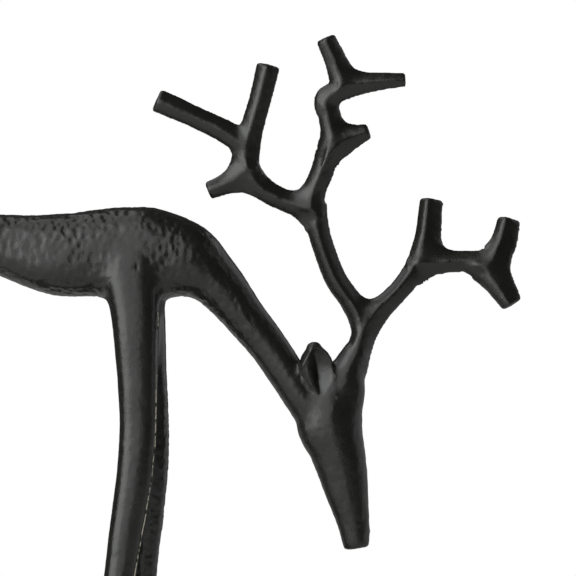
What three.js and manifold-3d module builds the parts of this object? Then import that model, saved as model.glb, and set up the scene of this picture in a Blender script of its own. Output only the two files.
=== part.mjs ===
// A cast iron stag with its head lowered, standing on a low plain base.
// Millimetres, +Z up. The stag looks along +X and its near side is -Y.
// The origin is the middle of the base's underside.
import * as THREE from "three";
import { mergeVertices } from "three/addons/utils/BufferGeometryUtils.js";
import Module from "manifold-3d";

const wasm = await Module();
wasm.setup();

// Driving dimensions.
const baseLength = 292;
const baseWidth = 108;
const baseHeight = 12;
const baseCorner = 14;
const baseBevel = 1.6;
const seatGap = 0.3;

const trunkHeight = 300; // centre of the rump above the underside
const rumpX = -112;
const legTopY = 12; // how far each leg's centre is from the middle, at the top
const hoofY = 20;
const farForeSwing = 3.3; // the far foreleg stands a little further forward, in degrees
const farHindSwing = 4;
const leafY = 10.5; // the middle of an ear
const grooveY = 18; // the middle of the tool that hollows it
const forkZ = 246; // the antlers share one stem up to here
const partingReach = 18; // how far above the fork they lean in full
const rearAntlerTilt = -8; // degrees out of upright, towards the near side
const frontAntlerTilt = 11;

// Section shapes, as the exponent of a superellipse: 2 is an ellipse, less is a rounded diamond.
const trunkSection = 2.2;
const roundSection = 2;
const crestSection = 1.8;
const neckSection = 1.75;
const legSection = 1.7;
const headSection = 1.6;
const webSection = 1.5;
const antlerSection = 1.25;

// How far along X the ridges of a diamond run off its middle, in parts of its half height.
const legRidge = 0.16;
const rearAntlerRidge = -0.1;
const frontAntlerRidge = -0.34;

// Each limb runs from its root through its bones.
// A bone is [length, heading in degrees from +X, half height at its end, half width at its end].
const trunk = {
  root: [rumpX, trunkHeight, 10, 12],
  bones: [
    [42, 4, 26, 23],
    [47, 3, 19.2, 18],
    [57, -9.6, 28.7, 24],
    [58, 2, 30.8, 25],
    [36, -13, 24, 24],
  ],
};

const neck = {
  root: [78, 301, 27, 24.5],
  bones: [
    [16, -5, 29.6, 25.5],
    [30, -12, 25.2, 25],
    [23, -37, 18.8, 20.5],
    [33, -50, 15, 15.5],
    [33, -52, 13.4, 13],
    [36, -57, 12.9, 13],
    [20, -60, 12, 12],
  ],
};

const head = {
  root: [227, 212, 14, 11],
  bones: [
    [32, -96.3, 23.6, 16],
    [22, -75, 19.5, 14.5],
    [26, -77, 16.1, 12],
    [25, -78, 11.8, 9.6],
    [18, -82, 9.3, 8.4],
  ],
};

// The swelling of the crown that carries both antlers.
const crest = {
  root: [229.3, 191, 18.3, 13],
  bones: [
    [16, 76, 16.8, 12.5],
    [14, 68, 10.8, 11],
    [12, 62, 9, 9.4],
  ],
};

const tail = {
  root: [-98, 308, 5, 6],
  bones: [
    [15, -160, 5.5, 6.5],
    [14, -120, 6.5, 7],
    [14, -97, 3.2, 4],
  ],
};

const ear = {
  root: [217, 196, 4, 4],
  bones: [
    [12, 97, 9, 7],
    [11, 97, 11.8, 7.6],
    [7, 97, 9.6, 6.2],
    [4.5, 97, 5.6, 4],
  ],
};

const earGroove = {
  root: [217.5, 197, 1.5, 1.5],
  bones: [
    [12, 97, 4.5, 4],
    [12, 97, 6, 5],
    [11, 97, 2.5, 2.5],
  ],
};

const foreleg = {
  root: [86, 312, 9, 6],
  bones: [
    [20, -92, 20, 15.5],
    [42, -86, 16.8, 15.5],
    [42, -88, 14, 13],
    [35, -89.5, 13, 11.5],
    [28, -94, 12.8, 11.5],
    [32, -98, 12.2, 10.8],
    [29, -99, 11.4, 10.3],
    [32, -96, 10.8, 9.8],
    [16, -92, 11.6, 10.5],
    [14, -68, 10.4, 10],
    [18, -84, 13.5, 12],
  ],
};

const hindleg = {
  root: [-80, 314, 10, 5],
  bones: [
    [18, -90, 22, 13],
    [32, -84, 23.5, 17],
    [34, -98, 19, 15],
    [32, -118, 14.5, 12.5],
    [26, -118, 12.3, 11],
    [20, -96, 12.8, 11],
    [50, -82, 11, 10],
    [51, -84, 10.6, 9.5],
    [20, -86, 11.4, 10.5],
    [14, -66, 10.2, 10],
    [20, -84, 13.5, 12],
  ],
};

// The rear antler leans to the near side and the front one to the far side.
const rearAntler = {
  beam: {
    root: [240, 211, 9.5, 9.5],
    bones: [
      [17, 76, 9, 9.2],
      [13, 75, 8.8, 9],
      [12, 103, 8.4, 8.4],
      [13, 118, 8, 7.8],
      [19, 124, 8, 7.4],
      [22, 112, 7.9, 7.2],
      [18, 105, 8.1, 7],
      [14, 92, 7.6, 6.8],
    ],
  },
  crown: {
    root: [213, 322, 7, 6.5],
    bones: [
      [17, 90, 8.2, 7],
      [15, 70, 8.2, 7],
      [15.6, 74, 8, 6.8],
      [11.3, 77, 7.8, 6.4],
      [13.5, 97, 8.2, 6.2],
      [10, 99, 9.6, 6.4],
      [13.8, 50, 7.3, 6.6],
      [13.5, 95, 8.2, 6.2],
      [21, 114, 7.4, 5.8],
    ],
  },
  branch: {
    root: [219, 322, 6, 6],
    bones: [
      [27.5, 157, 7.8, 6.4],
      [18, 151, 8.6, 6.6],
      [17, 130, 9.2, 7],
      [15, 94, 9.8, 7],
      [17, 76, 8.2, 6.6],
      [18, 74, 8, 6.4],
      [24, 76, 8.6, 7],
    ],
  },
  backTine: {
    root: [168, 367, 8.4, 6.5],
    bones: [
      [17, 137, 8.4, 6.5],
      [27, 153, 8, 6.4],
      [30, 156, 8.4, 6.4],
    ],
  },
  lowTine: {
    root: [175, 357, 7, 6],
    bones: [
      [21, 208, 7.4, 6.4],
      [18, 202, 6.6, 6.2],
    ],
  },
  topTine: {
    root: [226, 406.5, 7, 6.5],
    bones: [
      [13, 31, 8.8, 6.4],
      [20, 8, 6.6, 5.4],
      [19, 4, 5.2, 4.4],
    ],
  },
  midTine: {
    root: [217.5, 351, 6, 5.5],
    bones: [
      [14, 61, 7, 6],
      [13, 48, 8.6, 6],
      [9.5, 33, 8.2, 5.4],
      [10, 20, 5.6, 4.4],
    ],
  },
};

const frontAntler = {
  beam: {
    root: [240, 211, 9.5, 9.5],
    bones: [
      [17, 76, 9, 9.2],
      [16, 70, 9, 9],
      [17, 56, 8.2, 7.8],
      [21, 46, 7.5, 7.2],
      [21, 54, 8.6, 7],
      [18, 70, 9.4, 7],
      [28, 83, 8.4, 6.6],
    ],
  },
  arm: {
    root: [278, 287, 6, 6],
    bones: [
      [23, 8, 8.2, 6.4],
      [20, 3, 7.6, 6],
      [17, 2, 9.4, 6.8],
      [13, 54, 9.8, 6.8],
      [18, 76, 8.4, 6.6],
    ],
  },
  downTine: {
    root: [321, 290, 7.5, 6],
    bones: [
      [13, -20, 10, 6.5],
      [13, -46, 10.2, 6.8],
      [17, -58, 8.2, 6.4],
    ],
  },
};

// What fills the crotches, as [x, z, radius].
const rearWebs = [
  [251, 259, 6.5],
  [201.5, 337, 5],
  [168, 345, 5.5],
  [209, 322, 6.5],
  [230, 401, 5.5],
  [163, 361, 6],
];
const frontWebs = [
  [298, 298, 5],
  [336, 298, 5],
  [343, 287, 6],
];

// A closed manifold-3d solid from a three.js geometry.
function solidOf(geometry) {
  geometry.deleteAttribute("normal");
  geometry.deleteAttribute("uv");
  const merged = mergeVertices(geometry, 1e-4);
  const vertProperties = merged.attributes.position.array;
  const triVerts = new Uint32Array(merged.index.array);
  return new wasm.Manifold(new wasm.Mesh({ numProp: 3, vertProperties, triVerts }));
}

function geometryOf(solid) {
  const { vertProperties, triVerts } = solid.getMesh();
  const geometry = new THREE.BufferGeometry();
  geometry.setAttribute("position", new THREE.BufferAttribute(new Float32Array(vertProperties), 3));
  geometry.setIndex(new THREE.BufferAttribute(new Uint32Array(triVerts), 1));
  geometry.computeVertexNormals();
  return geometry;
}

// The joints of a limb, with sideAt(z) giving how far out to the side each one is.
function jointsOf({ root, bones }, swing, sideAt) {
  let [x, z] = root;
  const joints = [new THREE.Vector3(x, sideAt(z), z)];
  for (const [length, heading] of bones) {
    const angle = THREE.MathUtils.degToRad(heading + swing);
    x += length * Math.cos(angle);
    z += length * Math.sin(angle);
    joints.push(new THREE.Vector3(x, sideAt(z), z));
  }
  return joints;
}

// How an end is closed: each pair is [how far past the last joint, how much of the girth is left].
// Distances are in parts of the half height.
const ends = {
  flat: [],
  cut: [[0.14, 0.86]],
  round: [0.3, 0.6, 0.9, 1.2].map((angle) => [Math.sin(angle) * 0.8, Math.cos(angle)]),
};

// Where the rings of a limb stand, as parts of its whole run.
function stationsOf(bones, spacing) {
  const stations = bones.flatMap(([length], bone) => {
    const steps = Math.ceil(length / spacing);
    return Array.from({ length: steps }, (_, step) => (bone + step / steps) / bones.length);
  });
  return [...stations, 1];
}

// A limb swept smoothly through its joints, as a closed solid.
function limbSolid(limb, shape, sideAt = () => 0, swing = 0) {
  const { sides, spacing, section = roundSection, ridge = 0, end = "flat" } = shape;
  const path = new THREE.CatmullRomCurve3(jointsOf(limb, swing, sideAt));
  const girths = [limb.root, ...limb.bones].map(([, , high, wide]) => new THREE.Vector3(high, wide, 0));
  const girthCurve = new THREE.CatmullRomCurve3(girths);
  const rings = [
    ...stationsOf(limb.bones, spacing).map((t) => ringAt(path, girthCurve, t, 0, 1)),
    ...ends[end].map(([past, left]) => ringAt(path, girthCurve, 1, past, left)),
  ];
  return solidOf(skin(rings, sides, section, ridge));
}

function ringAt(path, girthCurve, t, past, left) {
  const girth = girthCurve.getPoint(t);
  const along = path.getTangent(t);
  const up = along.clone().cross(new THREE.Vector3(0, 1, 0)).normalize();
  const out = up.clone().cross(along);
  const middle = path.getPoint(t).addScaledVector(along, past * girth.x);
  return { middle, up, out, high: girth.x * left, wide: girth.y * left };
}

function ringPoints({ middle, up, out, high, wide }, sides, section, ridge) {
  const bulge = (value) => Math.sign(value) * Math.abs(value) ** (2 / section);
  const points = [];
  for (let side = 0; side < sides; side++) {
    const angle = (side / sides) * 2 * Math.PI;
    const sideways = bulge(Math.sin(angle));
    const shift = ridge * up.x * Math.abs(sideways);
    points.push(middle.clone()
      .addScaledVector(up, high * (bulge(Math.cos(angle)) + shift))
      .addScaledVector(out, wide * sideways));
  }
  return points;
}

// Joins rings of points into a closed skin, with a fan over each end.
function skin(rings, sides, section, ridge) {
  const loops = rings.map((ring) => ringPoints(ring, sides, section, ridge));
  const last = loops.length - 1;
  const points = [...loops.flat(), rings[0].middle, rings[last].middle];
  const startMiddle = points.length - 2;
  const endMiddle = points.length - 1;
  const index = [];
  for (let side = 0; side < sides; side++) {
    const next = (side + 1) % sides;
    for (let loop = 0; loop < last; loop++) {
      const here = loop * sides;
      const there = here + sides;
      index.push(here + side, there + side, here + next);
      index.push(here + next, there + side, there + next);
    }
    index.push(startMiddle, side, next);
    index.push(endMiddle, last * sides + next, last * sides + side);
  }
  const geometry = new THREE.BufferGeometry().setFromPoints(points);
  geometry.setIndex(index);
  return geometry;
}

function join(solids) {
  return solids.reduce((whole, solid) => whole.add(solid));
}

// The legs spread a little towards the hooves.
function legSide(side) {
  return (z) => side * THREE.MathUtils.mapLinear(z, trunkHeight, baseHeight, legTopY, hoofY);
}

function legSolids() {
  const shape = { sides: 12, spacing: 22, section: legSection, ridge: legRidge };
  return [
    limbSolid(foreleg, shape, legSide(-1)),
    limbSolid(foreleg, shape, legSide(1), farForeSwing),
    limbSolid(hindleg, shape, legSide(-1)),
    limbSolid(hindleg, shape, legSide(1), farHindSwing),
  ];
}

// Above the fork each antler leans out to its own side.
function antlerSolids(antler, webs, tilt, ridge) {
  const slope = Math.tan(THREE.MathUtils.degToRad(tilt));
  const sideAt = (z) => {
    const rise = Math.max(0, z - forkZ);
    return slope * rise ** 2 / (rise + partingReach);
  };
  const limbShape = { sides: 12, spacing: 14, section: antlerSection, ridge, end: "cut" };
  const webShape = { sides: 6, spacing: 8, section: webSection, ridge };
  return [
    ...Object.values(antler).map((limb) => limbSolid(limb, limbShape, sideAt)),
    ...webs.map(([x, z, radius]) => limbSolid(webLimb(x, z, radius), webShape, sideAt)),
  ];
}

// A short blob, widest at its middle.
function webLimb(x, z, radius) {
  const narrow = [0.3 * radius, 0.4 * radius];
  return {
    root: [x, z - radius, ...narrow],
    bones: [[radius, 90, radius, 0.8 * radius], [radius, 90, ...narrow]],
  };
}

// An ear is a leaf with a groove down its outer face.
function earSolid(side) {
  const leaf = limbSolid(ear, { sides: 12, spacing: 6, end: "round" }, () => side * leafY);
  const groove = limbSolid(earGroove, { sides: 8, spacing: 8 }, () => side * grooveY);
  return leaf.subtract(groove);
}

// Everything below the hooves' soles, so that they stand flat.
function belowSoles() {
  const depth = 60;
  const slab = new THREE.BoxGeometry(2 * baseLength, 2 * baseWidth, depth);
  slab.translate(0, 0, baseHeight + seatGap - depth / 2);
  return solidOf(slab);
}

function stagGeometry() {
  const solids = [
    limbSolid(trunk, { sides: 16, spacing: 16, section: trunkSection, end: "round" }),
    limbSolid(neck, { sides: 16, spacing: 14, section: neckSection, end: "round" }),
    limbSolid(head, { sides: 16, spacing: 10, section: headSection, end: "cut" }),
    limbSolid(crest, { sides: 16, spacing: 14, section: crestSection }),
    limbSolid(tail, { sides: 8, spacing: 7, end: "round" }),
    earSolid(-1),
    earSolid(1),
    ...legSolids(),
    ...antlerSolids(rearAntler, rearWebs, rearAntlerTilt, rearAntlerRidge),
    ...antlerSolids(frontAntler, frontWebs, frontAntlerTilt, frontAntlerRidge),
  ];
  return geometryOf(join(solids).subtract(belowSoles()));
}

// A low slab with round corners and softened edges.
function baseGeometry() {
  const halfLength = baseLength / 2 - baseBevel;
  const halfWidth = baseWidth / 2 - baseBevel;
  const outline = new THREE.Shape();
  const quarter = Math.PI / 2;
  [[1, 1], [-1, 1], [-1, -1], [1, -1]].forEach(([x, y], corner) => {
    const centreX = x * (halfLength - baseCorner);
    const centreY = y * (halfWidth - baseCorner);
    outline.absarc(centreX, centreY, baseCorner, corner * quarter, (corner + 1) * quarter);
  });
  const slab = new THREE.ExtrudeGeometry(outline, {
    depth: baseHeight - 2 * baseBevel,
    bevelThickness: baseBevel,
    bevelSize: baseBevel,
    bevelSegments: 2,
    curveSegments: 5,
  });
  slab.translate(0, 0, baseBevel);
  return slab;
}

const satinBlack = { color: 0x2a2b2a, roughness: 0.45, metalness: 0.6 };

function namedMesh(name, geometry) {
  const mesh = new THREE.Mesh(geometry, new THREE.MeshStandardMaterial(satinBlack));
  mesh.name = name;
  return mesh;
}

const statue = new THREE.Group();
statue.add(namedMesh("stag", stagGeometry()));
statue.add(namedMesh("base", baseGeometry()));

export default statue;
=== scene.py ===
import itertools
import math

import bmesh
import bpy
import numpy as np
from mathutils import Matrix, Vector, noise


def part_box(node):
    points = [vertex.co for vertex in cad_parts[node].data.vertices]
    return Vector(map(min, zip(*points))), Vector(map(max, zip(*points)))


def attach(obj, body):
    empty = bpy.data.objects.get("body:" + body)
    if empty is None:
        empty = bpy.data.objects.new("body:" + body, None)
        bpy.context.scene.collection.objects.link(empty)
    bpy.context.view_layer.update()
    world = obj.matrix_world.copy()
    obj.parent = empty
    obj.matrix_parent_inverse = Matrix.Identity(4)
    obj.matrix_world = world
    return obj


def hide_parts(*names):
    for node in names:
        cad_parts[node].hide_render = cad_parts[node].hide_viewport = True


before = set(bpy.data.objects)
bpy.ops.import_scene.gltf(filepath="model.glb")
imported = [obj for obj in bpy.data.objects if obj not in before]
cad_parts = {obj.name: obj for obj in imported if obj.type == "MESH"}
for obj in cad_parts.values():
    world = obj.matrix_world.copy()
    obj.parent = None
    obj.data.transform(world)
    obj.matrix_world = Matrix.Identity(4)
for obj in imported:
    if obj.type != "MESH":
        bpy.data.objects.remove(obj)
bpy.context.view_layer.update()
mm = 0.001
print("frame loaded")

# Every limb runs from its root through its bones, all in millimetres and degrees.
# A root is (x, z, half height, half width).
# A bone is (length, heading from +X, half height at its end, half width at its end).
# A section is the power of its outline at the root and at the end: 2 is an ellipse, more is squarer,
# and less is a rounded diamond.
body = {
    "trunk": {
        "root": (-112, 300, 10, 12),
        "bones": [(42, 4, 26, 23), (47, 3, 19.2, 18), (57, -9.6, 28.7, 24), (58, 2, 30.8, 25),
                  (36, -13, 24, 24)],
        "end": "round",
        "section": (2.2, 2.2),
    },
    "neck": {
        "root": (78, 301, 27, 24.5),
        "bones": [(16, -5, 29.6, 25.5), (30, -12, 25.2, 25), (23, -37, 18.8, 20.5), (33, -50, 15, 15.5),
                  (33, -52, 13.4, 13), (36, -57, 12.9, 13), (20, -60, 12, 12)],
        "end": "round",
        "section": (2.3, 1.7),
    },
    "head": {
        "root": (227, 212, 14, 11),
        "bones": [(32, -96.3, 23.6, 16), (22, -75, 19.5, 14.5), (26, -77, 16.1, 12), (25, -78, 11.8, 9.6),
                  (18, -82, 9.3, 8.4)],
        "end": "cut",
        "section": (1.8, 1.6),
    },
    "crest": {
        "root": (229.3, 191, 18.3, 13),
        "bones": [(16, 76, 16.8, 12.5), (14, 68, 10.8, 11), (12, 62, 9, 9.4)],
        "section": (1.8, 1.8),
    },
    "tail": {
        "root": (-98, 308, 5, 6),
        "bones": [(15, -160, 5.5, 6.5), (14, -120, 6.5, 7), (14, -97, 3.2, 4)],
        "end": "round",
        "section": (2, 2),
    },
}

legs = {
    "topHeight": 300,  # where the legs are topSide from the middle
    "soleHeight": 12,  # and where they are soleSide from it
    "topSide": 12,
    "soleSide": 20,
    "soleGap": 0.3,  # to the base
    "farForeSwing": 3.3,  # degrees forward of the near leg
    "farHindSwing": 4,
    "section": (2.7, 2),
    "fore": {
        "root": (86, 312, 9, 6),
        "bones": [(20, -92, 20, 15.5), (42, -86, 16.8, 15.5), (42, -88, 14, 13), (35, -89.5, 13, 11.5),
                  (28, -94, 12.8, 11.5), (32, -98, 12.2, 10.8), (29, -99, 11.4, 10.3), (32, -96, 10.8, 9.8),
                  (16, -92, 11.6, 10.5), (14, -68, 10.4, 10), (18, -84, 13.5, 12)],
    },
    "hind": {
        "root": (-80, 314, 10, 5),
        "bones": [(18, -90, 22, 13), (32, -84, 23.5, 17), (34, -98, 19, 15), (32, -118, 14.5, 12.5),
                  (26, -118, 12.3, 11), (20, -96, 12.8, 11), (50, -82, 11, 10), (51, -84, 10.6, 9.5),
                  (20, -86, 11.4, 10.5), (14, -66, 10.2, 10), (20, -84, 13.5, 12)],
    },
}

antlers = {
    "forkHeight": 246,  # the antlers share one stem up to here
    "partingReach": 18,  # the more, the more slowly they lean out above the fork
    "rearTilt": -8,  # degrees out of upright, towards the near side
    "frontTilt": 11,
    "section": (1.25, 1.25),
    "rearRidge": 0.1,  # how far the ridge runs off the middle, on upright stretches
    "frontRidge": 0.34,
    "webReach": 13,  # how far along the limbs the iron fills a crotch
    "webRounds": 5,  # of moving the skin out to the webs
    "endFade": 8,  # the webs fade this far from a limb's end
    "forkFade": 16,  # and this far above the fork
    "rear": {
        "beam": {
            "root": (240, 211, 9.5, 9.5),
            "bones": [(17, 76, 9, 9.2), (13, 75, 8.8, 9), (12, 103, 8.4, 8.4), (13, 118, 8, 7.8),
                      (19, 124, 8, 7.4), (22, 112, 7.9, 7.2), (18, 105, 8.1, 7), (14, 92, 7.6, 6.8)],
        },
        "crown": {
            "root": (213, 322, 7, 6.5),
            "bones": [(17, 90, 8.2, 7), (15, 70, 8.2, 7), (15.6, 74, 8, 6.8), (11.3, 77, 7.8, 6.4),
                      (13.5, 97, 8.2, 6.2), (10, 99, 9.6, 6.4), (13.8, 50, 7.3, 6.6), (13.5, 95, 8.2, 6.2),
                      (21, 114, 7.4, 5.8)],
        },
        "branch": {
            "root": (219, 322, 6, 6),
            "bones": [(27.5, 157, 7.8, 6.4), (18, 151, 8.6, 6.6), (17, 130, 9.2, 7), (15, 94, 9.8, 7),
                      (17, 76, 8.2, 6.6), (18, 74, 8, 6.4), (24, 76, 8.6, 7)],
        },
        "backTine": {
            "root": (168, 367, 8.4, 6.5),
            "webs": 0.3,  # in parts of webReach
            "bones": [(17, 137, 8.4, 6.5), (27, 153, 8, 6.4), (30, 156, 8.4, 6.4)],
        },
        "lowTine": {
            "root": (175, 357, 7, 6),
            "bones": [(21, 208, 7.4, 6.4), (18, 202, 6.6, 6.2)],
        },
        "topTine": {
            "root": (226, 406.5, 7, 6.5),
            "webs": 0.8,
            "bones": [(13, 31, 8.8, 6.4), (20, 8, 6.6, 5.4), (19, 4, 5.2, 4.4)],
        },
        "midTine": {
            "root": (217.5, 351, 6, 5.5),
            "webs": 0.9,
            "bones": [(14, 61, 7, 6), (13, 48, 8.6, 6), (9.5, 33, 8.2, 5.4), (10, 20, 5.6, 4.4)],
        },
    },
    "front": {
        "beam": {
            "root": (240, 211, 9.5, 9.5),
            "bones": [(17, 76, 9, 9.2), (16, 70, 9, 9), (17, 56, 8.2, 7.8), (21, 46, 7.5, 7.2),
                      (21, 54, 8.6, 7), (18, 70, 9.4, 7), (28, 83, 8.4, 6.6)],
        },
        "arm": {
            "root": (278, 287, 6, 6),
            "bones": [(23, 8, 8.2, 6.4), (20, 3, 7.6, 6), (17, 2, 9.4, 6.8), (13, 54, 9.8, 6.8),
                      (18, 76, 8.4, 6.6)],
        },
        "downTine": {
            "root": (321, 290, 7.5, 6),
            "bones": [(13, -20, 10, 6.5), (13, -46, 10.2, 6.8), (17, -58, 8.2, 6.4)],
        },
    },
}

ears = {
    "side": 7,  # how far out the root is
    "lean": 8,  # degrees outwards
    "root": (217, 196, 4, 4),
    "bones": [(12, 97, 9, 7), (11, 97, 11.8, 7.6), (7, 97, 9.6, 6.2), (4.5, 97, 5.6, 4)],
    # the hollow runs up from its foot to its head and is widest at its middle
    "hollowFoot": (217, 195),
    "hollowHead": (213.5, 231),
    "floor": 7.6,  # of the hollow, from the middle of the head
    "risesBehind": 1.3,  # how steeply it rises towards the neck
    "risesBefore": 0.38,  # and towards the antlers
    "narrows": 10,  # how much shallower the hollow is at its foot and head
    "hollowWide": 16,  # how far it reaches towards the antlers
    # a thin raised rim along its neck side
    "rimTop": (211.5, 231),
    "rimFoot": (202, 213),
    "rimHeight": 1.3,
    "rimWidth": 1.2,
}

# the making of the whole, in millimetres, passes and counts; a pair of bounds runs from none to in full
casting = {
    "bodySides": 64,  # corners of a limb's ring
    "legSides": 48,
    "antlerSides": 40,
    "coarse": 2.0,  # voxel of the body and legs, on which the wide hollows are filled
    "fine": 1.05,  # voxel of the whole
    "bodyFilling": 45,  # passes; more makes the webs in the crotches wider
    "bodyFillingFrom": (60, 120),  # it sets in between these heights
    "shoulderFilling": 90,
    "shoulders": [((90, 0, 286), (34, 60, 34)), ((-76, 0, 262), (40, 60, 42))],  # (middle, reach)
    "headFilling": 120,  # round the ears and the foot of the antlers
    "headFillingUpTo": (262, 250),
    "pitFilling": 14,  # on the head and antlers
    "headFrom": {"x": (120, 140), "z": (200, 225)},
    "softening": 4,
    "triangles": 190000,
    "flaws": [  # (middle, reach, depth)
        ((89.6, -26, 287), (0.9, 6, 2.2), 1.0),
        ((96, -26, 279), (1.2, 6, 1.2), 0.4),
        ((105, 14, 162.5), (1.3, 8, 1.3), 0.9),
        ((330, -4, 283), (1.6, 8, 2), 1.0),
    ],
    # the far foreleg is rougher where the mould met behind the near one, and so is the head's far side
    "rough": {"depth": 0.3, "length": 3.5, "x": (60, 75), "y": (4, 8), "z": (222, 205)},
}

# the dented coat of the trunk and neck, and the fine waves all over
skin = {
    "dentDepth": 1.1,
    "dentWide": 4.2,
    "dentTall": 6.5,
    "dentSize": 1.15,  # more makes the dents smaller
    "dentLevel": 0.25,  # how much of a dent's depth is given back all over, so that the girth stays
    "dentLean": 3.5,  # how far the rows of dents wander
    "leanLength": 14,
    "patchLength": 30,  # over which the dents grow deeper and shallower
    "patchSpread": 0.6,
    "waveDepth": 0.35,
    "waveLength": 24,
    "skinDepth": 0.13,
    "skinLength": 4,
    "neckFade": (130, 185),  # between these places along X the coat gets smoother
    "neckLoss": 0.75,
    "headCoat": 0.2,  # how much of the coat's depth the head has
}

# the flash on the near and far foreleg
seam = {
    "stretches": [(30, 214), (243, 257)],  # heights
    "turn": 22,  # degrees off the leg's front edge
    "waver": 8,  # degrees
    "waverLength": 11,
    "size": 0.5,
    "sizeLength": 6,
    "sunk": 0.25,  # into the leg
}

# how a limb's end is closed: (how far past its last joint, in half heights, how much girth is left)
endRings = {
    "flat": [],
    "cut": [(0.14, 0.86)],
    "round": [(0.8 * math.sin(turn), math.cos(turn)) for turn in (0.25, 0.5, 0.75, 1.0, 1.25, 1.45)],
}


def curveThrough(points, spots):
    # a centripetal Catmull-Rom curve; spot 2.5 is halfway from point 2 to point 3
    points = np.asarray(points, float)
    padded = np.vstack([2 * points[0] - points[1], points, 2 * points[-1] - points[-2]])
    index = np.clip(np.floor(spots).astype(int), 0, len(points) - 2)
    along = (spots - index)[:, None]
    before, start, stop, after = (padded[index + i] for i in range(4))
    gapBefore, gap, gapAfter = (
        np.sqrt(np.maximum(np.linalg.norm(b - a, axis=1), 1e-8))[:, None]
        for a, b in ((before, start), (start, stop), (stop, after)))
    through = (stop - start) / gap
    leave = ((start - before) / gapBefore - (stop - before) / (gapBefore + gap) + through) * gap
    arrive = (through - (after - start) / (gap + gapAfter) + (after - stop) / gapAfter) * gap
    square, cube = along ** 2, along ** 3
    return (start * (2 * cube - 3 * square + 1) + leave * (cube - 2 * square + along)
            + stop * (3 * square - 2 * cube) + arrive * (cube - square))


def layLimb(name, limb, sideAt=lambda z: 0, swing=0, section=(2, 2), end=None, spacing=2.5, ridge=0):
    # works out the rings of a limb: their middles, directions and half sizes
    x, z = limb["root"][:2]
    joints = [(x, sideAt(z), z)]
    for length, heading, _, _ in limb["bones"]:
        angle = math.radians(heading + swing)
        x += length * math.cos(angle)
        z += length * math.sin(angle)
        joints.append((x, sideAt(z), z))
    girths = [limb["root"][2:]] + [bone[2:] for bone in limb["bones"]]
    counts = [round(bone[0] / spacing) + 1 for bone in limb["bones"]]
    inBones = [i + np.arange(count) / count for i, count in enumerate(counts)]
    spots = np.concatenate(inBones + [[len(counts)]])
    middles = curveThrough(joints, spots)
    girths = curveThrough([(*girth, 0) for girth in girths], spots)[:, :2]
    along = np.gradient(middles, axis=0)
    along /= np.linalg.norm(along, axis=1)[:, None]
    last = len(spots) - 1
    for past, left in endRings[end or limb.get("end", "flat")]:
        middles = np.vstack([middles, middles[last] + along[last] * past * girths[last][0]])
        girths = np.vstack([girths, girths[last] * left])
        along = np.vstack([along, along[last]])
    up = np.cross(along, (0, 1, 0))
    up /= np.linalg.norm(up, axis=1)[:, None]
    out = np.cross(up, along)
    return {"name": name, "middles": middles, "girths": girths, "up": up, "out": out,
            "section": limb.get("section", section), "ridge": ridge}


def sweepLimb(mesh, limb, sides):
    # adds the limb to a bmesh as a closed skin
    angles = np.arange(sides) / sides * 2 * math.pi
    circle = (np.cos(angles), np.sin(angles))
    sections = np.linspace(*limb["section"], len(limb["middles"]))
    rings = []
    stations = zip(limb["middles"], limb["girths"], limb["up"], limb["out"], sections)
    for middle, girth, up, out, section in stations:
        high, wide = (np.sign(value) * np.abs(value) ** (2 / section) for value in circle)
        shifted = high + limb["ridge"] * up[0] * np.abs(wide)  # moves the ridges along X
        points = middle + np.outer(shifted * girth[0], up) + np.outer(wide * girth[1], out)
        rings.append([mesh.verts.new(point) for point in points])
    for ring, nextRing in zip(rings, rings[1:]):
        for i in range(sides):
            j = (i + 1) % sides
            mesh.faces.new((ring[i], nextRing[i], nextRing[j], ring[j]))
    for ring, middle, turned in zip((rings[0], rings[-1]), limb["middles"][[0, -1]], (False, True)):
        centre = mesh.verts.new(middle)
        for i in range(sides):
            pair = (ring[i], ring[(i + 1) % sides])
            mesh.faces.new((centre, *(reversed(pair) if turned else pair)))


def layBody():
    return [layLimb(name, limb) for name, limb in body.items()]


def layLegs():
    def sideAt(side):
        spread = (legs["soleSide"] - legs["topSide"]) / (legs["topHeight"] - legs["soleHeight"])
        return lambda z: side * (legs["topSide"] + (legs["topHeight"] - z) * spread)
    shape = {"section": legs["section"]}
    return [
        layLimb("foreNear", legs["fore"], sideAt(-1), **shape),
        layLimb("foreFar", legs["fore"], sideAt(1), legs["farForeSwing"], **shape),
        layLimb("hindNear", legs["hind"], sideAt(-1), **shape),
        layLimb("hindFar", legs["hind"], sideAt(1), legs["farHindSwing"], **shape),
    ]


def layAntlers():
    laid = []
    for which in ("rear", "front"):
        slope = math.tan(math.radians(antlers[which + "Tilt"]))
        shape = {"section": antlers["section"], "end": "cut", "ridge": -antlers[which + "Ridge"]}

        def sideAt(z):
            rise = max(0, z - antlers["forkHeight"])
            return slope * rise ** 2 / (rise + antlers["partingReach"])
        for name, limb in antlers[which].items():
            laid.append(layLimb(which + name.capitalize(), limb, sideAt, **shape))
            laid[-1]["webs"] = limb.get("webs", 1)
    return laid


def objectFrom(mesh, name):
    bmesh.ops.recalc_face_normals(mesh, faces=mesh.faces)
    data = bpy.data.meshes.new(name)
    mesh.to_mesh(data)
    mesh.free()
    piece = bpy.data.objects.new(name, data)
    bpy.context.scene.collection.objects.link(piece)
    return piece


def applyModifier(piece, kind, **settings):
    modifier = piece.modifiers.new(kind, kind)
    for key, value in settings.items():
        setattr(modifier, key, value)
    graph = bpy.context.evaluated_depsgraph_get()
    made = bpy.data.meshes.new_from_object(piece.evaluated_get(graph))
    piece.modifiers.clear()
    old = piece.data
    piece.data = made
    bpy.data.meshes.remove(old)


def shadeSmooth(piece):
    piece.data.polygons.foreach_set("use_smooth", [True] * len(piece.data.polygons))


def readPoints(data):
    points = np.empty(len(data.vertices) * 3, np.float32)
    data.vertices.foreach_get("co", points)
    return points.reshape(-1, 3).astype(float)


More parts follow.
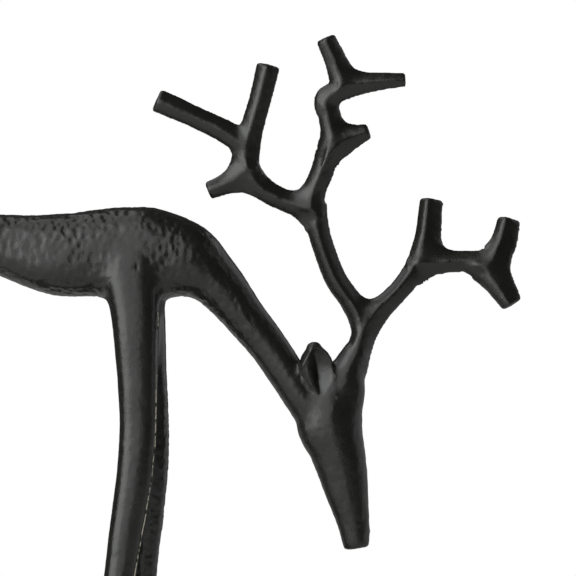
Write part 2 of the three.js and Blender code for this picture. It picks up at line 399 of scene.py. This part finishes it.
def writePoints(data, points):
    data.vertices.foreach_set("co", points.astype(np.float32).ravel())
    data.update()


class Surface:
    # the neighbours and normals of a mesh, for moving its points
    def __init__(self, data):
        self.data = data
        self.points = readPoints(data)
        edges = np.empty(len(data.edges) * 2, np.int32)
        data.edges.foreach_get("vertices", edges)
        self.starts, self.stops = edges.reshape(-1, 2).T
        self.counts = np.bincount(edges, minlength=len(self.points)).astype(float)
        self.normals()

    def normals(self):
        writePoints(self.data, self.points)
        found = np.empty(len(self.points) * 3, np.float32)
        self.data.vertex_normals.foreach_get("vector", found)
        self.normal = found.reshape(-1, 3).astype(float)

    def pull(self):
        # from each point to the middle of its neighbours
        total = np.empty_like(self.points)
        size = len(self.points)
        for axis in range(3):
            value = self.points[:, axis]
            total[:, axis] = (np.bincount(self.starts, value[self.stops], size)
                              + np.bincount(self.stops, value[self.starts], size))
        return total / self.counts[:, None] - self.points

    def fillHollows(self, passes, weight):
        for i in range(passes):
            if i % 6 == 0:  # the normals turn slowly
                self.normals()
            rise = np.maximum(np.sum(self.pull() * self.normal, axis=1), 0)
            self.points += (0.9 * rise * weight)[:, None] * self.normal
        self.normals()

    def soften(self, passes):
        # each shrinking pass is followed by one that swells it back
        for _ in range(passes):
            self.points += 0.5 * self.pull()
            self.points -= 0.52 * self.pull()
        self.normals()


def outsideOf(limb, points):
    # how far outside a limb each point is, the way out of it, and how far away the limb's nearer end is
    gaps = np.linalg.norm(points[:, None] - limb["middles"], axis=2)
    nearest = np.argmin(gaps, axis=1)
    away = points - limb["middles"][nearest]
    high, wide = limb["girths"][nearest].T
    up, out = limb["up"][nearest], limb["out"][nearest]
    section = np.linspace(*limb["section"], len(limb["middles"]))[nearest]
    across = np.sum(away * out, axis=1) / wide
    above = np.sum(away * up, axis=1) / high - limb["ridge"] * up[:, 0] * np.abs(across)
    across, above = (np.where(np.abs(value) < 1e-4, 1e-4, value) for value in (across, above))
    size = (np.abs(across) ** section + np.abs(above) ** section) ** (1 / section)
    slope = np.zeros_like(away)
    for value, reach, way in ((above, high, up), (across, wide, out)):
        share = size ** (1 - section) * np.abs(value) ** (section - 1) * np.sign(value) / reach
        slope += share[:, None] * way
    steepness = np.linalg.norm(slope, axis=1)
    along = np.cross(out, up)
    lengths = np.concatenate([[0], np.cumsum(np.linalg.norm(np.diff(limb["middles"], axis=0), axis=1))])
    place = lengths[nearest] + np.sum(away * along, axis=1)
    fromEnd = np.minimum(place, lengths[-1] - place)
    return np.maximum((size - 1) / steepness, -fromEnd), slope / steepness[:, None], fromEnd


def fillCrotches(points, limbs):
    # blends each limb into the others where they meet at an angle
    chosen = np.nonzero(points[:, 2] > antlers["forkHeight"])[0]
    spots = points[chosen]
    rows = np.arange(len(spots))
    webs = np.array([limb["webs"] for limb in limbs])
    for _ in range(antlers["webRounds"]):
        found = [outsideOf(limb, spots) for limb in limbs]
        depths, ways, fromEnds = (np.array(each) for each in zip(*found))
        nearest = np.argmin(depths, axis=0)
        depth, way = depths[nearest, rows], ways[nearest, rows]
        reach = antlers["webReach"] * webs[:, None] * webs[nearest]
        reach *= smoothStep(0.95, 0.4, np.sum(ways * way, axis=2))  # none where two limbs run the same way
        reach *= smoothStep(0, antlers["endFade"], np.minimum(fromEnds, fromEnds[nearest, rows]))
        reach *= smoothStep(0, antlers["forkFade"], spots[:, 2] - antlers["forkHeight"])
        share = np.maximum(reach - depths + depth, 0) / np.maximum(2 * reach, 1e-6)
        missing = reach * share ** 2 - depth
        other = np.argmax(missing, axis=0)
        share = share[other, rows]
        missing = np.maximum(missing[other, rows], 0) * np.minimum(1, 4 * share)
        way = way * (1 - share)[:, None] + ways[other, rows] * share[:, None]
        # most of the step at once, and never a long one where the two ways out nearly cancel
        spots += (0.8 * missing)[:, None] * way / np.maximum(np.sum(way ** 2, axis=1), 0.3)[:, None]
    points[chosen] = spots


def nearness(points, limbs):
    # how far each point is from the nearest of these limbs, in parts of its girth
    best = np.full(len(points), 1e9)
    for limb in limbs:
        middles, sizes = limb["middles"][::2], limb["girths"][::2].mean(axis=1)
        for middle, girth in zip(middles, np.maximum(sizes, 4)):
            gap = np.linalg.norm(points - middle, axis=1) / girth
            np.minimum(best, gap, out=best)
    return best


def smoothStep(low, high, value):
    part = np.clip((value - low) / (high - low), 0, 1)
    return part * part * (3 - 2 * part)


def bump(points, centre, reach):
    return np.exp(-np.sum(((points - np.array(centre)) / np.array(reach)) ** 2, axis=1))


def joinBody(bodyLimbs, legLimbs):
    mesh = bmesh.new()
    for limb in bodyLimbs:
        sweepLimb(mesh, limb, casting["bodySides"])
    for limb in legLimbs:
        sweepLimb(mesh, limb, casting["legSides"])
    piece = objectFrom(mesh, "stag_casting")
    applyModifier(piece, "REMESH", mode="VOXEL", voxel_size=casting["coarse"])
    surface = Surface(piece.data)
    points = surface.points
    surface.fillHollows(casting["bodyFilling"], smoothStep(*casting["bodyFillingFrom"], points[:, 2]))
    shoulders = sum(bump(points, middle, reach) for middle, reach in casting["shoulders"])
    surface.fillHollows(casting["shoulderFilling"], np.clip(shoulders, 0, 1))
    surface.soften(casting["softening"])
    writePoints(piece.data, surface.points)
    print("body and legs joined:", len(surface.points), "points")
    return piece


def addEars(mesh):
    lean = math.tan(math.radians(ears["lean"]))
    for side in (-1, 1):
        def sideAt(z):
            return side * (ears["side"] + (z - ears["root"][1]) * lean)
        sweepLimb(mesh, layLimb("ear", ears, sideAt, end="round", spacing=1.5), casting["antlerSides"])


def joinAntlers(piece, antlerLimbs):
    # adds the antlers and ears to the body and gives back the surface of the whole
    mesh = bmesh.new()
    for limb in antlerLimbs:
        sweepLimb(mesh, limb, casting["antlerSides"])
    addEars(mesh)
    mesh.from_mesh(piece.data)
    mesh.to_mesh(piece.data)
    mesh.free()
    for _ in range(2):
        applyModifier(piece, "REMESH", mode="VOXEL", voxel_size=casting["fine"])
        points = readPoints(piece.data)
        fillCrotches(points, antlerLimbs)
        writePoints(piece.data, points)
    surface = Surface(piece.data)
    x, _, z = surface.points.T
    onHead = smoothStep(*casting["headFrom"]["z"], z) * smoothStep(*casting["headFrom"]["x"], x)
    surface.fillHollows(casting["headFilling"], onHead * smoothStep(*casting["headFillingUpTo"], z))
    surface.fillHollows(casting["pitFilling"], onHead)
    surface.soften(casting["softening"])
    print("antlers and ears joined:", len(surface.points), "points")
    return surface


def addSeams(piece, forelegs):
    # the seams carry a mark that lets the bare iron show
    mesh = bmesh.new()
    mesh.from_mesh(piece.data)
    mesh.verts.layers.float.new("bare")
    for limb, (low, high) in itertools.product(forelegs, seam["stretches"]):
        strip = seamStrip(limb, low, high)
        bare = strip.verts.layers.float.new("bare")
        for vert in strip.verts:
            vert[bare] = 1
        flash = objectFrom(strip, "seam")
        mesh.from_mesh(flash.data)
        bpy.data.meshes.remove(flash.data)
    mesh.to_mesh(piece.data)
    mesh.free()


def castStag():
    bodyLimbs, legLimbs, antlerLimbs = layBody(), layLegs(), layAntlers()
    piece = joinBody(bodyLimbs, legLimbs)
    surface = joinAntlers(piece, antlerLimbs)
    hollowEars(surface)
    relief(surface, bodyLimbs, legLimbs, antlerLimbs)
    pitSkin(surface)
    # the soles are flat and stay clear of the base
    surface.points[:, 2] = np.maximum(surface.points[:, 2], legs["soleHeight"] + legs["soleGap"])
    writePoints(piece.data, surface.points)
    triangles = 2 * len(piece.data.polygons)
    applyModifier(piece, "DECIMATE", ratio=min(1, casting["triangles"] / triangles))
    addSeams(piece, legLimbs[:2])
    writePoints(piece.data, readPoints(piece.data) * mm)
    shadeSmooth(piece)
    print("stag cast:", len(piece.data.polygons), "faces")
    return piece


def alongLine(points, start, stop):
    # how far along a line in the side plane each point is, from 0 to 1, and how far in front of it
    start, stop = np.array(start), np.array(stop)
    run = stop - start
    length = np.linalg.norm(run)
    flat = points[:, [0, 2]] - start
    return flat @ run / length ** 2, (flat[:, 0] * run[1] - flat[:, 1] * run[0]) / length


def hollowEars(surface):
    # each ear is a leaf with a steep V down its outer face
    points = surface.points
    aside, facing = np.abs(points[:, 1]), np.abs(surface.normal[:, 1])
    outer = smoothStep(5, 8, aside) * smoothStep(0, 0.4, facing)  # clear of the head, and facing outwards
    part, across = alongLine(points, ears["hollowFoot"], ears["hollowHead"])
    floor = ears["floor"] + ears["narrows"] * (1 - np.sqrt(np.clip(4 * part * (1 - part), 0, 1)))
    floor += np.where(across < 0, -across * ears["risesBehind"], across * ears["risesBefore"])
    hollow = np.maximum(aside - floor, 0) * (across < ears["hollowWide"])
    # the rim fades in just above its foot and out at its top
    part, across = alongLine(points, ears["rimFoot"], ears["rimTop"])
    rim = (np.exp(-(across / ears["rimWidth"]) ** 2) * ears["rimHeight"]
           * smoothStep(-0.1, 0.25, part) * smoothStep(1.15, 0.9, part))
    points[:, 1] -= np.sign(points[:, 1]) * outer * (hollow - rim)
    surface.normals()


def relief(surface, bodyLimbs, legLimbs, antlerLimbs):
    # the coat is dents on the trunk and neck; the limbs and the head are smoother
    points = surface.points
    flank = nearness(points, [limb for limb in bodyLimbs if limb["name"] in ("trunk", "neck")])
    limbs = nearness(points, legLimbs + antlerLimbs)
    head = nearness(points, [limb for limb in bodyLimbs if limb["name"] in ("head", "crest")])
    # it fades out towards the legs, the antlers and the head
    coat = smoothStep(-0.25, 0.35, np.minimum(limbs, head * 0.9 + 0.1) - flank)
    coat *= 1 - skin["neckLoss"] * smoothStep(*skin["neckFade"], points[:, 0])
    coat = np.maximum(coat, skin["headCoat"] * smoothStep(-0.2, 0.3, limbs - head))
    shift = np.zeros(len(points))
    wide, tall = skin["dentWide"], skin["dentTall"]
    for i, (x, y, z) in enumerate(points):
        place = Vector((x, y, z))
        shift[i] = (skin["waveDepth"] * noise.noise(place / skin["waveLength"])
                    + skin["skinDepth"] * noise.fractal(place / skin["skinLength"], 0.8, 2, 3))
        if coat[i] > 0.02:
            lean = skin["dentLean"] * noise.noise(place / skin["leanLength"])
            spot = Vector(((x + lean) / wide, y / wide, z / tall))
            dent = max(0.0, 1 - skin["dentSize"] * noise.voronoi(spot)[0][0])
            dent *= dent * (3 - 2 * dent)
            patch = 0.7 + skin["patchSpread"] * noise.noise(Vector((x, y, z + 90)) / skin["patchLength"])
            shift[i] -= skin["dentDepth"] * coat[i] * (dent - skin["dentLevel"]) * patch
    surface.points += shift[:, None] * surface.normal
    surface.normals()


def pitSkin(surface):
    for middle, reach, depth in casting["flaws"]:
        surface.points -= (depth * bump(surface.points, middle, reach))[:, None] * surface.normal
    points, settings = surface.points, casting["rough"]
    x, y, z = points.T
    rough = smoothStep(*settings["y"], y) * smoothStep(*settings["z"], z) * smoothStep(*settings["x"], x)
    for i in np.nonzero(rough > 0.02)[0]:
        bumpy = noise.fractal(Vector(points[i]) / settings["length"], 0.7, 2, 3)
        points[i] += rough[i] * settings["depth"] * bumpy * surface.normal[i]
    surface.normals()


def seamStrip(legLimb, low, high):
    # the thin flash left where the mould halves met, down the front edge of a leg
    mesh = bmesh.new()
    rings = []
    outward = -1 if legLimb["name"].endswith("Near") else 1
    for middle, girth, up in zip(legLimb["middles"], legLimb["girths"], legLimb["up"]):
        if not low < middle[2] < high:
            continue
        turn = math.radians(seam["turn"] + seam["waver"] * noise.noise(Vector(middle) / seam["waverLength"]))
        front, side = (value ** (2 / legs["section"][0]) for value in (math.cos(turn), math.sin(turn)))
        away = Vector(up * girth[0] * front) + Vector((0, outward * girth[1] * side, 0))
        edge = Vector(middle) + away
        away.normalize()
        edge -= away * seam["sunk"]
        side = away.cross(Vector((0, 0, 1))).normalized()
        size = seam["size"] * (0.6 + 0.7 * abs(noise.noise(Vector(middle) / seam["sizeLength"])))
        rings.append([mesh.verts.new(edge + side * size), mesh.verts.new(edge + away * size * 1.5),
                      mesh.verts.new(edge - side * size), mesh.verts.new(edge - away * size)])
    for ring, nextRing in zip(rings, rings[1:]):
        for i in range(4):
            j = (i + 1) % 4
            mesh.faces.new((ring[i], nextRing[i], nextRing[j], ring[j]))
    mesh.faces.new(rings[0])
    mesh.faces.new(rings[-1])
    return mesh


# in metres, as the node's box is
plinth = {
    "corner": 0.014,
    "cornerSteps": 8,
    "edge": 0.0016,  # how far its edges are rounded
}


def castBase():
    low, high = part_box("base")
    size = high - low
    centre = (low + high) / 2
    corner, steps = plinth["corner"], plinth["cornerSteps"]
    mesh = bmesh.new()
    outline = []
    for i, (right, back) in enumerate(((1, 1), (-1, 1), (-1, -1), (1, -1))):
        x = right * (size.x / 2 - corner)
        y = back * (size.y / 2 - corner)
        for step in range(steps + 1):
            angle = math.radians(90 * i + step * 90 / steps)
            outline.append(mesh.verts.new((centre.x + x + corner * math.cos(angle),
                                           centre.y + y + corner * math.sin(angle), low.z)))
    face = mesh.faces.new(outline)
    raised = bmesh.ops.extrude_face_region(mesh, geom=[face])
    top = [item for item in raised["geom"] if isinstance(item, bmesh.types.BMVert)]
    bmesh.ops.translate(mesh, verts=top, vec=(0, 0, size.z))
    piece = objectFrom(mesh, "base_casting")
    applyModifier(piece, "BEVEL", width=plinth["edge"], segments=4, limit_method="ANGLE")
    shadeSmooth(piece)
    return piece


class Value:
    # a socket that can be used in sums
    def __init__(self, tree, socket):
        self.tree = tree
        self.socket = socket

    def math(self, operation, *others):
        node = self.tree.nodes.new("ShaderNodeMath")
        node.operation = operation
        for slot, item in zip(node.inputs, others):
            if isinstance(item, Value):
                self.tree.links.new(item.socket, slot)
            else:
                slot.default_value = item
        return Value(self.tree, node.outputs[0])

    def __add__(self, other):
        return self.math("ADD", self, other)

    def __mul__(self, other):
        return self.math("MULTIPLY", self, other)

    def __sub__(self, other):
        return self.math("SUBTRACT", self, other)

    def __rsub__(self, other):
        return self.math("SUBTRACT", other, self)

    __radd__ = __add__
    __rmul__ = __mul__


class Nodes:
    def __init__(self, tree):
        self.tree = tree

    def fill(self, socket, item):
        if isinstance(item, Value):
            self.tree.links.new(item.socket, socket)
        else:
            socket.default_value = item

    def node(self, kind, settings=None, inputs=None, output=0):
        made = self.tree.nodes.new(kind)
        for key, value in (settings or {}).items():
            setattr(made, key, value)
        for key, item in (inputs or {}).items():
            self.fill(made.inputs[key], item)
        return Value(self.tree, made.outputs[output])


class Finish(Nodes):
    def __init__(self, name):
        self.material = bpy.data.materials.new(name)
        self.material.use_nodes = True
        super().__init__(self.material.node_tree)

    def noise(self, place, scale, detail):
        return self.node("ShaderNodeTexNoise", inputs={"Vector": place, "Scale": scale, "Detail": detail})

    def mix(self, factor, first, second):
        return self.node("ShaderNodeMix", {"data_type": "RGBA"}, {0: factor, 6: first, 7: second}, 2)

    def set(self, **inputs):
        shader = self.tree.nodes["Principled BSDF"]
        for key, item in inputs.items():
            self.fill(shader.inputs[key.replace("_", " ")], item)


satinBlack = {
    "dark": (0.0052, 0.0048, 0.0038, 1),
    "light": (0.010, 0.0099, 0.0088, 1),
    "bare": (0.42, 0.38, 0.31, 1),  # iron that shows where the paint has chipped off
    "roughness": 0.28,
    "roughnessSpread": 0.14,
    "specular": 0.55,
    "cloud": 38.0,  # scales of the noises
    "smear": 150.0,
    "grain": 900.0,
    "chips": 260.0,
    "chipsFrom": 0.4,
    "chipsTo": 0.5,
    "grainBump": 0.22,
    "grainDepth": 0.0006,
}


def ironFinish():
    look = satinBlack
    finish = Finish("satin_black_iron")
    place = finish.node("ShaderNodeTexCoord", output=3)
    cloud = finish.noise(place, look["cloud"], 5.0)
    smear = finish.noise(place, look["smear"], 4.0)
    grain = finish.noise(place, look["grain"], 3.0)
    rough = look["roughness"] + look["roughnessSpread"] * (0.6 * cloud + 0.4 * smear - 0.5)
    bumps = finish.node("ShaderNodeBump", inputs={"Height": grain, "Strength": look["grainBump"],
                                                  "Distance": look["grainDepth"]})
    bare = finish.node("ShaderNodeAttribute", {"attribute_name": "bare"}, output=2)
    chips = finish.noise(place, look["chips"], 3.0)
    chipped = bare * finish.node("ShaderNodeMapRange",
                                 inputs={0: chips, 1: look["chipsFrom"], 2: look["chipsTo"]})
    paint = finish.mix(cloud, look["dark"], look["light"])
    finish.set(Base_Color=finish.mix(chipped, paint, look["bare"]), Roughness=rough,
               Specular_IOR_Level=look["specular"], Normal=bumps)
    return finish.material


# in metres
studio = {
    "aim": (0.12, 0, 0.25),
    "camera": (0.1946, -4.0, 0.2724),
    "fieldWide": 0.4032,  # how much the camera sees across, at the middle of the object
    "floorRadius": 1.0,
    "floorGap": 0.0003,
    "surround": 0.08,  # how bright the room is apart from the lamps
    "lampColour": (0.97, 1, 0.98),
    # name: (azimuth, elevation, distance, width, height, brightness), with the angles in degrees
    # azimuth 0 is the camera's side, minus is to its left
    "lamps": {
        "front": (-34, 18, 1.8, 3.2, 2.6, 1.35),
        "left": (-52, 10, 1.5, 1.2, 1.6, 2.0),
        "right": (112, 8, 1.8, 2.4, 2.4, 0.55),
        "top": (-80, 64, 1.9, 2.9, 1.7, 1.1),
    },
}


def lightStudio():
    scene = bpy.context.scene
    scene.view_settings.view_transform = "Standard"
    for name, (azimuth, elevation, distance, width, height, brightness) in studio["lamps"].items():
        lamp = bpy.data.lights.new(name + "_softbox", "AREA")
        lamp.shape = "RECTANGLE"
        lamp.size, lamp.size_y = width, height
        lamp.energy = brightness * math.pi * width * height
        lamp.color = studio["lampColour"]
        holder = bpy.data.objects.new(lamp.name, lamp)
        holder.visible_camera = False
        turn, rise = math.radians(azimuth), math.radians(elevation)
        flat = math.cos(rise)
        direction = Vector((math.sin(turn) * flat, -math.cos(turn) * flat, math.sin(rise)))
        holder.location = Vector(studio["aim"]) + direction * distance
        holder.rotation_euler = (-direction).to_track_quat("-Z", "Y").to_euler()
        scene.collection.objects.link(holder)


def makeSurround():
    # white behind the object, and dim in what the iron mirrors
    world = bpy.data.worlds.new("studio")
    bpy.context.scene.world = world
    world.use_nodes = True
    nodes = Nodes(world.node_tree)
    background = nodes.tree.nodes["Background"]
    background.inputs["Color"].default_value = (1, 1, 1, 1)
    seen = Value(nodes.tree, background.outputs[0])
    mirrored = nodes.node("ShaderNodeBackground", inputs={"Strength": studio["surround"]})
    path = nodes.node("ShaderNodeLightPath", output="Is Camera Ray")
    blend = nodes.node("ShaderNodeMixShader", inputs={0: path, 1: mirrored, 2: seen})
    nodes.fill(nodes.tree.nodes["World Output"].inputs["Surface"], blend)


def layFloor():
    mesh = bmesh.new()
    bmesh.ops.create_circle(mesh, cap_ends=True, segments=96, radius=studio["floorRadius"])
    floor = objectFrom(mesh, "studio_floor")
    floor.location.z = -studio["floorGap"]
    finish = Finish("pale_floor")
    finish.set(Base_Color=(0.8, 0.8, 0.79, 1), Roughness=0.7)
    floor.data.materials.append(finish.material)


def setCamera():
    lens = bpy.data.cameras.new("camera")
    lens.sensor_width = 36
    lens.lens = lens.sensor_width * -studio["camera"][1] / studio["fieldWide"]
    camera = bpy.data.objects.new("camera", lens)
    camera.location = studio["camera"]
    camera.rotation_euler = (math.radians(90), 0, 0)
    bpy.context.scene.collection.objects.link(camera)
    bpy.context.scene.camera = camera


iron = ironFinish()
stag = castStag()
base = castBase()
for piece, node, slotName in ((stag, "stag", "stag_iron"), (base, "base", "base_iron")):
    piece.data.materials.clear()
    piece.data.materials.append(iron)
    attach(piece, "root")
    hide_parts(node)
print("pieces finished")

lightStudio()
makeSurround()
layFloor()
setCamera()
